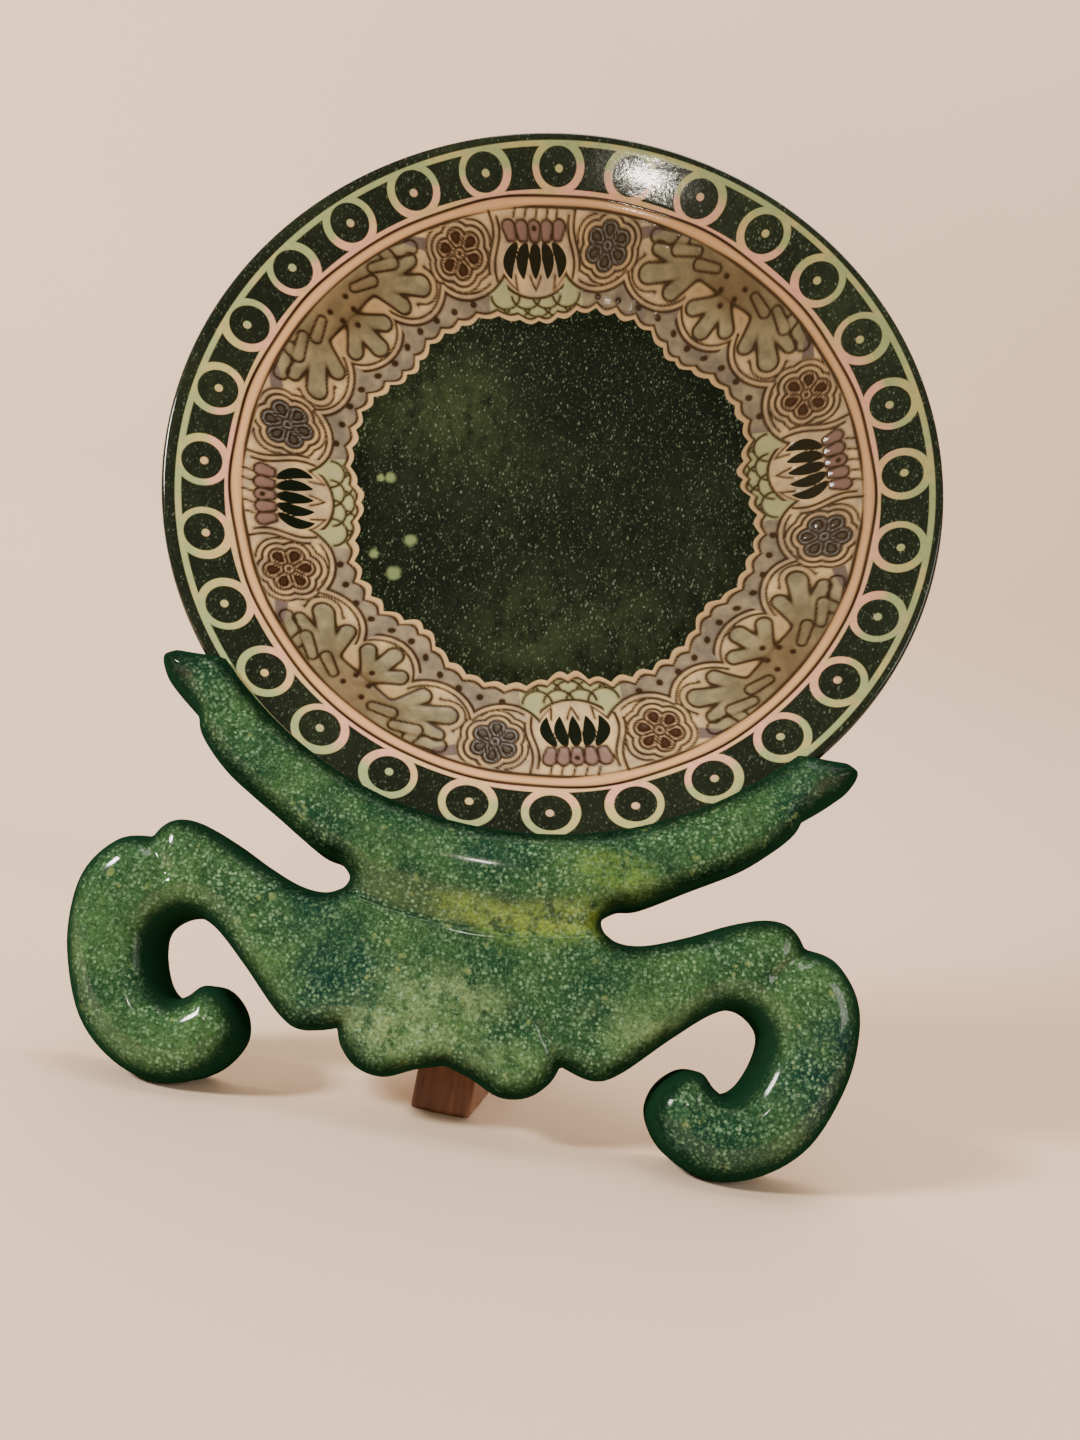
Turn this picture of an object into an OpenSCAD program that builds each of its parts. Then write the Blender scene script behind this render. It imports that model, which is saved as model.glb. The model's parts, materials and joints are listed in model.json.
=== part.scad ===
// Decorative china plate on its matching carved display stand.
// The plate's rim sits in a groove along the top of a carved front panel. A wooden brace is hinged
// to the back of the panel and folds flat against it. +Z is up and the face looks towards -Y.
// The shared working frame of the leaning parts has its origin at the centre of the plate's rim
// plane: x to the right, y up the lean, z square to the plate and towards its face.

/* [Plate] */
// Diameter over the rim
plate_d = 320; // [240:1:360]
// Thickness of the rim's rounded edge
rim_t = 4.8; // [4:0.1:5.2]
// Thickness in the middle of the plate
well_t = 6; // [5:0.1:8]
// Width of the sloping flange inside the rim
flange_w = 27; // [20:1:34]
// Drop of the flange from the rim to the shoulder
flange_drop = 9; // [5:0.5:12]
// Radius of the flat well
well_r = 86; // [70:1:95]
// Depth of the well's edge below the rim
well_depth = 27.5; // [20:0.5:32]
// Extra depth at the middle of the well
well_sag = 1.5; // [0.5:0.1:3]
// Outer radius of the foot ring
foot_r = 94; // [86:1:100]
// Width of the foot ring where it stands
foot_w = 6; // [4:0.5:8]
// Height of the foot ring
foot_h = 4.5; // [3:0.5:6]

/* [Front panel] */
// Lean of the panel and the plate from upright, in degrees
lean = 14; // [10:0.5:18]
// Thickness of the carved board at its raised parts
panel_t = 34; // [28:1:40]
// How far the raised parts stand in front of the plate's rim
panel_front = 11; // [9:0.5:13]
// How far the apron and legs lie behind the crescent
apron_recess = 3; // [2:0.5:5]
// How much of the rim the front lip covers
lip_cover = 6.5; // [4:0.5:8]
// Height of the crescent from the lip to its lower crease
crescent_h = 38; // [34:1:39]
// Distance from the plate's centre to the lowest point of the feet, down the lean
foot_drop = 263.5; // [263.5:0.5:268]

/* [Rear brace] */
// Thickness of the brace board
brace_t = 23; // [18:1:26]
// Reach of the brace behind its hinge pin
brace_reach = 102; // [95:1:115]
// Swing of the brace to the right from square, as it stands, in degrees
brace_swing = 9; // [0:1:20]
// Distance of the brace's top below the plate's centre, down the lean
brace_top = 166; // [160:1:172]
// Height of the brace's rear toe
toe_h = 14; // [10:1:20]

/* [Hinges] */
// Length of each butt hinge
hinge_l = 30; // [24:1:34]
// Width of each leaf from the pin's axis
leaf_w = 16; // [14:0.5:20]
// Thickness of each leaf
leaf_t = 1.5; // [1.2:0.1:2]
// Outer radius of the knuckles
knuckle_r = 3; // [2.6:0.1:3.2]
// Radius of the hinge pins
pin_r = 1.5; // [1.2:0.1:1.6]

/* [Screws] */
// Radius of the countersunk heads
screw_head_r = 2.8; // [2.4:0.1:3]
// Radius of the threaded shank
screw_r = 1.4; // [1.2:0.1:1.6]
// Length under the head
screw_l = 13; // [10:1:16]

/* [Hidden] */
$fn = 96;

// Clearance between pieces that move against each other, and of the pin in its moving knuckle
gap = 0.4;
pin_gap = 0.05;
// How much smaller a press fit's hole is than what it holds
press = 0.02;

plate_r = plate_d / 2;
lip_r = plate_r - lip_cover;
crease_r = lip_r + crescent_h;
panel_back = panel_front - panel_t;

// The groove's two faces, before and behind the plate's rim
groove_front = 0.6;
groove_back = -9;

// The hinge pin's axis, to the right of the brace and behind the panel
pin_reach = knuckle_r + gap;
pin_x = brace_t / 2 + pin_reach;
pin_z = panel_back - pin_reach;
upper_hinge_y = -188;
lower_hinge_y = -226;
screw_pitch = 16;
screw_offset = 10;

// Height of the plate's centre above the table, which leaves a narrow sole on each foot
sole_cut = 1.8;
plate_z = foot_drop * cos(lean) + sole_cut;

// The stand's front and rear ends, measured from the plate's centre along the table
front_end = -foot_drop * sin(lean) - (panel_front - apron_recess) * cos(lean);
rear_z = pin_z - brace_reach * cos(brace_swing) - (brace_t + pin_reach) * sin(brace_swing);
rear_end = -plate_z * tan(lean) - rear_z / cos(lean);
plate_y = -(front_end + rear_end) / 2;

// Larger than the whole part, for cutting tools
far = 500;

// Puts its children in the working frame of the leaning parts.
module leaning() translate([0, plate_y, plate_z]) rotate([90 - lean, 0, 0]) children();

// Puts its children in the frame of the swung brace, whose origin is on the hinge pin's axis.
module swung() leaning() translate([pin_x, 0, pin_z]) rotate([0, -brace_swing, 0]) children();

// Where a height above the table falls up the lean, at a distance z from the plate's rim plane.
function up_lean(height, z) = (height - plate_z - z * sin(lean)) / cos(lean);

// ---- curves ----

// A point on the smooth curve from b to c, whose neighbours are a and d.
function curve_point(a, b, c, d, t) =
    0.5 * (2 * b + (c - a) * t + (2 * a - 5 * b + 4 * c - d) * t * t
        + (3 * b - a - 3 * c + d) * t * t * t);

// A smooth curve through the points of one run, without the run's last point.
function smooth(run, steps = 6) = [
    for (i = [0 : len(run) - 2])
        for (k = [0 : steps - 1])
            curve_point(run[max(i - 1, 0)], run[i], run[i + 1], run[min(i + 2, len(run) - 1)],
                k / steps)
];

// A cubic between two heights with a given slope at each end, for t from 0 to 1 over the width w.
function blend(t, w, h0, slope0, h1, slope1) =
    (2 * t * t * t - 3 * t * t + 1) * h0 + (t * t * t - 2 * t * t + t) * w * slope0
    + (3 * t * t - 2 * t * t * t) * h1 + (t * t * t - t * t) * w * slope1;

// ---- plate ----

shoulder_r = plate_r - flange_w;
flange_slope = flange_drop / flange_w;

// Height of the plate's face at a radius, below the rim plane at zero.
function face(r) =
    r <= well_r ? -well_depth - well_sag * (1 - pow(r / well_r, 2))
    : r >= shoulder_r ? (r - plate_r) * flange_slope
    : blend((r - well_r) / (shoulder_r - well_r), shoulder_r - well_r,
        -well_depth, 2 * well_sag / well_r, -flange_drop, flange_slope);

// Extra depth below a sloping face, which keeps the wall there as thick as the rim.
slope_extra = 0.4;

// Height of the plate's underside at a radius, without the foot ring.
function under(r) = face(r) - rim_t - (well_t - rim_t) * (1 - r / plate_r) - slope_extra;

module plate_section() {
    edge_r = rim_t / 2;
    foot_tip = under(foot_r) - foot_h;
    foot_edge = 1;
    foot_flare = 1.5;
    foot_inner = foot_r - foot_w;
    foot_root = foot_inner - 2 * foot_flare;
    hollow_r = foot_inner - 4 * foot_flare;
    flange_end = foot_r + 2 * foot_edge;
    polygon(concat(
        [for (i = [0 : 4]) let (r = well_r * i / 4) [r, face(r)]],
        [for (i = [1 : 14]) let (r = well_r + (shoulder_r - well_r) * i / 14) [r, face(r)]],
        [for (a = [110 : -20 : -90])
            [plate_r - edge_r + edge_r * cos(a), face(plate_r) - edge_r + edge_r * sin(a)]],
        [for (i = [0 : 14]) let (r = shoulder_r - (shoulder_r - flange_end) * i / 14) [r, under(r)]],
        [[foot_r, foot_tip + foot_edge], [foot_r - foot_edge, foot_tip], [foot_inner, foot_tip],
            [foot_inner - foot_flare, foot_tip + foot_flare], [foot_root, under(foot_root)]],
        [for (i = [3 : -1 : 0]) let (r = hollow_r * i / 3) [r, under(r)]]));
}

module plate() color([0.16, 0.22, 0.17]) leaning() rotate_extrude($fn = 180) plate_section();

// ---- front panel ----

// One half of the carved outline, from the end of the lip to the middle of the lower edge.
arm_tip = [[131, -105], [136, -108.5], [133, -116], [127, -122], [117.5, -129.5]];
arm_and_slot = [[117.5, -129.5], [113, -138], [100, -150], [80, -162], [62, -172.5], [53, -175],
    [47.5, -180.5], [53, -186.5], [64, -186.5], [80, -180.5], [95, -173.5], [108, -169.5],
    [117, -170.5], [124.5, -177]];
curled_foot = [[124.5, -177], [136, -180], [145, -191], [147.5, -205], [144.5, -224], [134, -246],
    [118, -259], [100, -263.5], [83.5, -258], [75, -246.5], [76.5, -236], [84, -228.5],
    [92, -227.5], [97, -232], [102, -234], [107.5, -229.5], [112, -219], [112, -210],
    [104, -204], [94, -206], [79, -218], [62.5, -233], [53, -237], [41, -234]];
lower_lobe = [[41, -234], [38, -240.5], [31, -246.5], [21, -248], [10, -243.5], [0, -240.5]];

lip_end_x = sqrt(lip_r * lip_r - arm_tip[0].y * arm_tip[0].y);
lip_end = atan2(arm_tip[0].y, lip_end_x);
half_outline = concat(
    [for (i = [0 : 30]) let (a = -90 + (lip_end + 90) * i / 30) lip_r * [cos(a), sin(a)]],
    smooth(arm_tip), smooth(arm_and_slot), smooth(curled_foot), smooth(lower_lobe),
    [lower_lobe[len(lower_lobe) - 1]]);

module half_panel_outline() polygon(half_outline);

module panel_outline() {
    half_panel_outline();
    mirror([1, 0]) half_panel_outline();
}

// The crescent and its arms, above the crease that parts them from the apron and legs.
module crescent_outline() intersection() {
    panel_outline();
    circle(r = crease_r, $fn = 180);
}

// The threads bite into a hole that is a little tighter than they are.
module screw_pilot() cylinder(r = screw_r - press, h = screw_l);

module front_panel() color([0.24, 0.40, 0.28]) difference() {
    intersection() {
        leaning() translate([0, 0, panel_back]) {
            linear_extrude(panel_t - apron_recess) panel_outline();
            linear_extrude(panel_t) crescent_outline();
        }
        translate([-far, -far, 0]) cube([2 * far, 2 * far, far]);
    }
    leaning() {
        translate([0, 0, groove_back])
            cylinder(r = plate_r + gap, h = groove_front - groove_back, $fn = 180);
        for (y = [upper_hinge_y, lower_hinge_y]) panel_screw_places(y) screw_pilot();
    }
}

// ---- rear brace ----

// The brace's side: x is the distance behind the hinge pin and y is up the lean.
module brace_side() {
    front = gap - pin_reach;
    neck = 17;
    below = 20;
    sole_y = up_lean(0, pin_z - brace_reach);
    toe_y = up_lean(toe_h, pin_z - brace_reach);
    toe_x = brace_reach - toe_h * tan(lean);
    top_y = -brace_top;
    polygon(concat(
        [[front, -foot_drop - below], [brace_reach + below * tan(lean), sole_y - below],
            [toe_x, toe_y]],
        smooth([[toe_x, toe_y], [toe_x - 10, toe_y + 5], [52, toe_y + 14], [30, toe_y + 31],
            [neck + 1, top_y - 24], [neck, top_y - 8], [neck - 3, top_y - 2], [neck - 8, top_y]]),
        [[neck - 8, top_y], [front, top_y]]));
}

module rear_brace() color([0.48, 0.30, 0.20]) difference() {
    intersection() {
        swung() translate([-pin_reach - brace_t, 0, 0]) rotate([0, 90, 0])
            linear_extrude(brace_t) brace_side();
        translate([-far, -far, 0]) cube([2 * far, 2 * far, far]);
    }
    swung() for (y = [upper_hinge_y, lower_hinge_y]) brace_screw_places(y) screw_pilot();
}

// ---- hinges ----

third = hinge_l / 3;

// Places for the screws of one hinge, each with +z from the head into the wood.
module panel_screw_places(hinge_y)
    for (side = [-1, 1])
        translate([pin_x + screw_offset, hinge_y + side * screw_pitch / 2, panel_back - leaf_t])
            children();

module brace_screw_places(hinge_y)
    for (side = [-1, 1])
        translate([leaf_t - pin_reach, hinge_y + side * screw_pitch / 2, -screw_offset])
            rotate([0, -90, 0]) children();

// A cylinder about the pin's axis, centred at a height up the lean.
module on_pin(y, radius, length)
    translate([0, y, 0]) rotate([90, 0, 0]) cylinder(r = radius, h = length, center = true);

module countersink() cylinder(r1 = screw_head_r + pin_gap, r2 = screw_r + pin_gap, h = leaf_t);

// The leaf on the panel carries the two outer knuckles and grips the pin.
module fixed_leaf(hinge_y) color("darkgoldenrod") leaning() difference() {
    translate([pin_x, 0, 0]) {
        translate([pin_reach, hinge_y - hinge_l / 2, panel_back - leaf_t])
            cube([leaf_w - pin_reach, hinge_l, leaf_t]);
        for (side = [-1, 1]) {
            translate([0, hinge_y + side * third - third / 2, panel_back - leaf_t])
                cube([pin_reach, third, leaf_t]);
            translate([0, 0, pin_z]) on_pin(hinge_y + side * third, knuckle_r, third);
        }
    }
    translate([pin_x, 0, pin_z]) on_pin(hinge_y, pin_r - press, 2 * hinge_l);
    panel_screw_places(hinge_y) countersink();
}

// The leaf on the brace carries the middle knuckle, which turns on the pin.
module moving_leaf(hinge_y) color("darkgoldenrod") swung() difference() {
    union() {
        translate([-pin_reach, hinge_y - hinge_l / 2, -leaf_w])
            cube([leaf_t, hinge_l, leaf_w - pin_reach]);
        translate([-pin_reach, hinge_y - third / 2 + gap, -pin_reach])
            cube([leaf_t, third - 2 * gap, pin_reach]);
        on_pin(hinge_y, knuckle_r, third - 2 * gap);
    }
    on_pin(hinge_y, pin_r + pin_gap, 2 * hinge_l);
    brace_screw_places(hinge_y) countersink();
}

// The pin's two ends are peened over into small heads.
module hinge_pin(hinge_y) {
    head_r = pin_r + 0.8;
    head_top_r = pin_r + 0.2;
    head_h = 1;
    color("goldenrod") leaning() translate([pin_x, hinge_y, pin_z]) rotate([90, 0, 0]) {
        cylinder(r = pin_r, h = hinge_l, center = true);
        for (end = [0, 1])
            mirror([0, 0, end]) translate([0, 0, hinge_l / 2])
                cylinder(r1 = head_r, r2 = head_top_r, h = head_h);
    }
}

// A countersunk wood screw with a straight slot. The head's top is at z = 0.
module wood_screw() {
    point_l = 3;
    tip_r = 0.3;
    slot = [2 * screw_head_r + 1, 0.8, 0.6];
    difference() {
        union() {
            cylinder(r1 = screw_head_r, r2 = screw_r, h = leaf_t);
            cylinder(r = screw_r, h = screw_l - point_l);
            translate([0, 0, screw_l - point_l]) cylinder(r1 = screw_r, r2 = tip_r, h = point_l);
        }
        translate([-slot.x / 2, -slot.y / 2, 0]) cube(slot);
    }
}

module panel_screws() color("gold") leaning()
    for (y = [upper_hinge_y, lower_hinge_y]) panel_screw_places(y) wood_screw();

module brace_screws() color("gold") swung()
    for (y = [upper_hinge_y, lower_hinge_y]) brace_screw_places(y) wood_screw();

plate();
front_panel();
rear_brace();
fixed_leaf(upper_hinge_y);  // upper_fixed_leaf
fixed_leaf(lower_hinge_y);  // lower_fixed_leaf
moving_leaf(upper_hinge_y);  // upper_moving_leaf
moving_leaf(lower_hinge_y);  // lower_moving_leaf
hinge_pin(upper_hinge_y);  // upper_hinge_pin
hinge_pin(lower_hinge_y);  // lower_hinge_pin
panel_screws();
brace_screws();
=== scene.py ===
"""The looks of a display plate on its carved stand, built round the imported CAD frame.

The plate and the panel are drawn in millimetres in one leaning frame: its origin is the centre of
the plate's rim plane, x runs to the right, y up the lean and z out of the plate's face. The
ornament is drawn in the same plane with its pattern turned, one lotus at the top.
"""
import json
import math

import bmesh
import bpy
import numpy as np
import openvdb
from mathutils import Matrix, Vector
from mathutils.bvhtree import BVHTree


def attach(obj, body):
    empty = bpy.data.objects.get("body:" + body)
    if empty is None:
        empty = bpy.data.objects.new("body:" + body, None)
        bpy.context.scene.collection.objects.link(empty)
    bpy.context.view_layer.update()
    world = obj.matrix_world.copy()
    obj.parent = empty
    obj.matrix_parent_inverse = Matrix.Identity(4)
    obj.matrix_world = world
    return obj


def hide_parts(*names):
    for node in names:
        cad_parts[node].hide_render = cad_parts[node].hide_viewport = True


MM = 0.001
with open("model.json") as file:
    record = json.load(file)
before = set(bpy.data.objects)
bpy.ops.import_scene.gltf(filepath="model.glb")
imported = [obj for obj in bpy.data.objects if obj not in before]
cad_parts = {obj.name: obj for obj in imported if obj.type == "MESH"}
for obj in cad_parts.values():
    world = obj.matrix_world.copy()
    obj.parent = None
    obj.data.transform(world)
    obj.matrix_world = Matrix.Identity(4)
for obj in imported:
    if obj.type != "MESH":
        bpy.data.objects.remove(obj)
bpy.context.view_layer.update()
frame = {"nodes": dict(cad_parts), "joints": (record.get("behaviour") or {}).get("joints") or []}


# ---- working frames ----

def joint(name):
    return next(j for j in frame["joints"] if j["name"] == name)


def mesh_points(obj):
    points = np.empty(len(obj.data.vertices) * 3)
    obj.data.vertices.foreach_get("co", points)
    return points.reshape(-1, 3)


class Axes:
    """A place and three square directions, for work in millimetres."""

    def __init__(self, origin, right, up):
        self.origin = np.array(origin)
        self.rows = np.array([right, up, np.cross(right, up)])

    def inward(self, points):
        return (np.asarray(points) - self.origin) @ self.rows.T / MM

    def outward(self, points):
        return np.asarray(points) @ self.rows * MM + self.origin


def leaning_axes():
    up = Vector(joint("plate_lift")["axis"]).normalized()
    at_world_origin = Axes((0, 0, 0), (1, 0, 0), up)
    along = at_world_origin.inward(mesh_points(frame["nodes"]["plate"]))
    low, high = along.min(axis=0), along.max(axis=0)
    centre = ((low[0] + high[0]) / 2, (low[1] + high[1]) / 2, high[2])
    return Axes(at_world_origin.outward(centre), (1, 0, 0), up)


def brace_axes(lean):
    """x points back along the brace, y up the lean and z across its thickness."""
    fold = joint("brace_fold")
    swing = math.radians(-fold["range_deg"][0])
    right, up, face = lean.rows
    back = -face * math.cos(swing) + right * math.sin(swing)
    return Axes(fold["pos_m"], back, up)


LEAN = leaning_axes()
PLATE_R = LEAN.inward(mesh_points(frame["nodes"]["plate"]))[:, 0].max()


# ---- numbers and shapes in the plane ----

def step(low, high, x):
    """Rises smoothly from 0 to 1."""
    t = np.clip((x - low) / (high - low), 0, 1)
    return t * t * (3 - 2 * t)


def hump(x, centre, width):
    return np.exp(-((x - centre) / width) ** 2)


def disc(x, y, centre, radius):
    return np.hypot(x - centre[0], y - centre[1]) - radius


def stroke(x, y, start, end, radius, end_radius=None):
    """Distance to a straight stroke with round ends, which may taper."""
    end_radius = radius if end_radius is None else end_radius
    dx, dy = end[0] - start[0], end[1] - start[1]
    t = np.clip(((x - start[0]) * dx + (y - start[1]) * dy) / (dx * dx + dy * dy), 0, 1)
    return np.hypot(x - start[0] - t * dx, y - start[1] - t * dy) - radius - (end_radius - radius) * t


def petal(x, y, centre, half_width, up, down):
    """A petal that is round towards +y and pointed towards -y."""
    across = np.abs(x - centre[0]) / half_width
    along = y - centre[1]
    rounded = np.hypot(across, along / up)
    pointed = across + (along / down) ** 2
    return (np.where(along > 0, rounded, pointed) - 1) * half_width


def merged(distances, softness):
    """The union of several shapes, with soft inner corners."""
    total = sum(np.exp(-d / softness) for d in distances)
    return -softness * np.log(total)


def line(distance, width):
    """The stroke along a shape's outline."""
    return np.abs(distance) - width / 2


def fewest(*distances):
    return np.minimum.reduce(distances)


# ---- meshes ----

def make_object(name, points, faces, material):
    mesh = bpy.data.meshes.new(name)
    mesh.from_pydata(np.asarray(points).tolist(), [], faces)
    mesh.update()
    mesh.polygons.foreach_set("use_smooth", [True] * len(mesh.polygons))
    mesh.materials.append(material)
    obj = bpy.data.objects.new(name, mesh)
    bpy.context.scene.collection.objects.link(obj)
    return obj


def store(obj, name, values):
    """Keeps one number, or one vector, for each of a mesh's points."""
    values = np.asarray(values, dtype=np.float32)
    kind, field = ("FLOAT", "value") if values.ndim == 1 else ("FLOAT_VECTOR", "vector")
    obj.data.attributes.new(name, kind, "POINT").data.foreach_set(field, values.ravel())


def lathe(rings):
    """Points and faces of a turned skin. A ring is (radius, height, columns)."""
    points, starts, faces = [], [], []
    for radius, height, columns in rings:
        starts.append(sum(len(p) for p in points))
        turn = np.arange(columns) * 2 * math.pi / columns
        points.append(np.column_stack([radius * np.cos(turn), radius * np.sin(turn),
                                       np.full(columns, height)]))
    for i in range(len(rings) - 1):
        near, far = rings[i][2], rings[i + 1][2]
        few = min(near, far)
        for j in range(few):
            inner = [starts[i] + (j * near // few + k) % near for k in range(near // few + 1)]
            outer = [starts[i + 1] + (j * far // few + k) % far for k in range(far // few + 1)]
            faces.append([inner[0]] + outer + inner[:0:-1])
    faces.append([starts[0] + j for j in range(rings[0][2])])
    faces.append([starts[-1] + j for j in reversed(range(rings[-1][2]))])
    return np.concatenate(points), faces


# ---- carving a solid out of a board ----

class Outline:
    """The outline of a cut through a CAD node, as a table of signed distances."""
    PITCH = 0.6
    MARGIN = 4.0

    def __init__(self, node, axes, height):
        cut = bmesh.new()
        cut.from_mesh(frame["nodes"][node].data)
        bmesh.ops.remove_doubles(cut, verts=cut.verts, dist=1e-6)
        middle = Vector(axes.outward((0, 0, height)))
        everything = cut.verts[:] + cut.edges[:] + cut.faces[:]
        made = bmesh.ops.bisect_plane(cut, geom=everything, plane_co=middle, plane_no=axes.rows[2])
        edges = [e for e in made["geom_cut"] if isinstance(e, bmesh.types.BMEdge)]
        ends = np.array([[tuple(v.co) for v in e.verts] for e in edges])
        self.segments = axes.inward(ends)[:, :, :2]
        cut.free()
        self.low = self.segments.min(axis=(0, 1)) - self.MARGIN
        self.high = self.segments.max(axis=(0, 1)) + self.MARGIN
        counts = np.ceil((self.high - self.low) / self.PITCH).astype(int) + 1
        xs, ys = (self.low[k] + self.PITCH * np.arange(counts[k]) for k in (0, 1))
        self.table = self.measure(*np.meshgrid(xs, ys, indexing="ij"))

    def measure(self, x, y):
        nearest = np.full(x.shape, 1e9)
        inside = np.zeros(x.shape, bool)
        for (ax, ay), (bx, by) in self.segments:
            dx, dy = bx - ax, by - ay
            t = np.clip(((x - ax) * dx + (y - ay) * dy) / max(dx * dx + dy * dy, 1e-12), 0, 1)
            nearest = np.minimum(nearest, (x - ax - t * dx) ** 2 + (y - ay - t * dy) ** 2)
            if ay != by:
                crosses = ((ay > y) != (by > y)) & (x < ax + (y - ay) * dx / dy)
                inside ^= crosses
        return np.where(inside, -1, 1) * np.sqrt(nearest)

    def __call__(self, x, y):
        u = np.clip((x - self.low[0]) / self.PITCH, 0, self.table.shape[0] - 1.001)
        v = np.clip((y - self.low[1]) / self.PITCH, 0, self.table.shape[1] - 1.001)
        i, j = u.astype(int), v.astype(int)
        u, v = u - i, v - j
        t = self.table
        return ((t[i, j] * (1 - v) + t[i, j + 1] * v) * (1 - u)
                + (t[i + 1, j] * (1 - v) + t[i + 1, j + 1] * v) * u)


def rounded_corner(a, b, radius):
    """Inside both a and b, with the corner between them rounded."""
    outer = np.hypot(np.maximum(a + radius, 0), np.maximum(b + radius, 0))
    return np.minimum(np.maximum(a, b) + radius, 0) + outer - radius


def skin(solid, axes, low, high, pitch):
    """A smooth mesh of the surface where solid(x, y, z) changes sign, in world metres."""
    counts = np.ceil((np.array(high) - low) / pitch).astype(int) + 1
    lines = [low[k] + pitch * np.arange(counts[k]) for k in range(3)]
    field = solid(*np.meshgrid(*lines, indexing="ij")).astype(np.float32)
    grid = openvdb.FloatGrid(float(field.max()))
    grid.copyFromArray(field)
    points, quads = grid.convertToQuads(0.0)
    points = np.array(low) + points * pitch

    # Each point takes three steps along the slope, towards the surface.
    reach = 0.2
    for _ in range(3):
        here = solid(*points.T)
        slopes = np.column_stack([
            (solid(*(points + reach * way).T) - solid(*(points - reach * way).T)) / (2 * reach)
            for way in np.eye(3)])
        steepness = np.maximum((slopes ** 2).sum(axis=1), 0.25)
        move = -(here / steepness)[:, None] * slopes
        points = points + np.clip(move, -pitch / 2, pitch / 2)
    return points, axes.outward(points), quads.tolist()


# ---- the plate's ornament, with a lotus at the top ----

# The round eyes: how many, their circle's radius, and each one's disc, ring and dot
EYES = 28
EYE_R, EYE_DISC, EYE_RING, EYE_DOT = 144.8, 8.35, 11.5, 1.7
# Radii of the dark band between the eyes, and of the dark rim's edge
BAND_IN, BAND_OUT, RIM_LINE = 135.9, 153.8, 156.1
# The two turned grooves inside the eyes, the outer one first
GROOVES = (133.6, 129.2)
# Widths of a cut line and of the cream strip round the well
LINE_W, STRIP_W = 0.9, 2.9
# The scallops of the strip, and the lobes above them with their circle and radius
SCALLOPS, LOBES = 64, 24
LOBE_AT, LOBE_R = 112.6, 18.6
# Half the width of a lotus medallion, the ends of its sides, and the spacing of its petals
LOTUS_X, LOTUS_FOOT, LOTUS_TOP = 16.6, 101, 125.5
PETAL_PITCH = 5.9
# The centre of the flower on each side of a lotus
FLOWER = (33, 111.5)


def nearest(angle, count, start=0.0):
    """The angle from the nearest of evenly spaced directions, one of which is at start."""
    pitch = 2 * math.pi / count
    return (angle - start + pitch / 2) % pitch - pitch / 2


def stamp(below, area, ink):
    """Draws ink over what lies below, which the area hides."""
    return np.minimum(np.maximum(below, -area), ink)


def lotus_drawing(u, v):
    """A cup of dark petals with pale edges, a row of lobes on top of it, and short stems."""
    narrowing = 0.66 + 0.34 * np.sin(math.pi * np.clip((v - 97) / 20, 0, 1))
    places = [(k, u - k * PETAL_PITCH * narrowing) for k in (-2, -1, 0, 1, 2)]
    dark = fewest(*(petal(across, v, (0, 110.0), 2.6, 6.0, 8.6) for k, across in places))
    cups = [petal(across, v, (0, 110), 3.3, 8.0, 12.5) for k, across in places[::2]]
    tongues = np.maximum(fewest(*(line(cup, 0.6) for cup in cups)), v - 103.5)
    heads = [stroke(u, v, (k * 5.7, 121.4), (k * 5.2, 117.8), 2.9, 2.2) for k, across in places]
    heads = [np.maximum(head, 116.0 - v) for head in heads]
    stems = [stroke(u, v, (x, 125.0), (x + 1.2, 128.5), 0.35) for x in (-9, -4, 1, 6, 10.5)]
    ink = fewest(tongues, *(line(head, 0.7) for head in heads), *stems, disc(u, v, (0, 121), 0.95))
    bulge = 1.1 * np.sin((v - LOTUS_FOOT) / 12.5 * math.pi)
    for out in (0, 2.6):
        ends = np.maximum(LOTUS_FOOT + out - v, v - LOTUS_TOP - out)
        ink = fewest(ink, np.maximum(line(np.abs(u) - LOTUS_X - out - bulge, LINE_W), ends))
    area = np.maximum(np.abs(u) - LOTUS_X - 3.2 - bulge, np.maximum(98.5 - v, v - 129))
    return area, ink, dark, fewest(*heads)


def flower_drawing(u, v):
    """Six petals with a dark loop in each, a ring at the centre and two wavy lines round them."""
    fu, fv = np.abs(u) - FLOWER[0], v - FLOWER[1]
    reach = np.hypot(fu, fv)
    from_petal = nearest(np.arctan2(fv, fu), 6, 0.3)
    pu, pv = reach * np.sin(from_petal), reach * np.cos(from_petal)
    blossom = fewest(disc(pu, pv, (0, 6.3), 3.75), reach - 4.2)
    loop = petal(pu, pv, (0, 6.9), 1.75, 1.5, 3.4)
    ring = line(reach - 2.3, 0.8)
    between = np.maximum(line(np.abs(from_petal) * reach - reach * math.pi / 6, 0.9), reach - 6.5)
    between = np.maximum(between, 2.3 - reach)
    ink = fewest(line(blossom, LINE_W), between, ring, reach - 0.95, line(loop, 0.95))
    return blossom, ink, loop


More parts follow.
